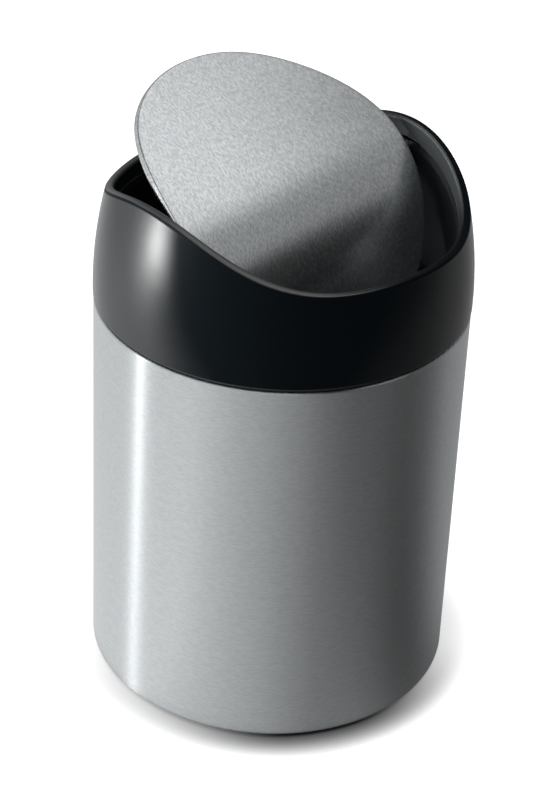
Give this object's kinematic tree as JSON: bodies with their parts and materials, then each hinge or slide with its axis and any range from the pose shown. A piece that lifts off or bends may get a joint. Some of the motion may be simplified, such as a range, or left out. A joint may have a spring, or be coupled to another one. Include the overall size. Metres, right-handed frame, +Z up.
{
  "type": "countertop trash can with swing lid",
  "caption": "Round brushed steel countertop bin with a black saddle-rimmed collar that lifts off and a curved steel lid that swings on two pins.",
  "frame": {"origin": "centre of the base, on the surface the bin stands on", "axes": "+Z up, X along the lid's pivot axis, -Y the side where the lid dips in"},
  "size_m": [0.1254, 0.1254, 0.205],
  "materials": {
    "brushed_body": "fine horizontal brushing, satin",
    "brushed_lid": "fine straight brushing across the pivot axis, satin",
    "pan_steel": "plain mill finish",
    "collar_plastic": "satin black, fine grain",
    "frame_plastic": "matt black",
    "carrier_plastic": "matt black",
    "block_plastic": "smooth black acetal",
    "foot_rubber": "matt black",
    "pin_steel": "turned and polished",
    "weight_steel": "zinc plated",
    "screw_steel": "zinc plated"
  },
  "bodies": {
    "can": {"body_sleeve": "brushed_body", "bottom_pan": "pan_steel", "base_ring": "foot_rubber"},
    "collar": {"collar_shell": "collar_plastic", "collar_frame": "frame_plastic", "pivot_block_left": "block_plastic", "pivot_block_right": "block_plastic"},
    "lid": {"lid_skin": "brushed_lid", "lid_carrier": "carrier_plastic", "pivot_pin_left": "pin_steel", "pivot_pin_right": "pin_steel", "lid_weight": "weight_steel", "weight_screws": "screw_steel"}
  },
  "joints": [
    {"name": "collar_lift", "type": "slide", "parent": "can", "child": "collar", "axis": [0, 0, 1], "range_m": [0, 0.04]},
    {"name": "lid_swing", "type": "hinge", "parent": "collar", "child": "lid", "pos_m": [0, 0, 0.1774], "axis": [1, 0, 0], "range_deg": [-119, 41]}
  ]
}
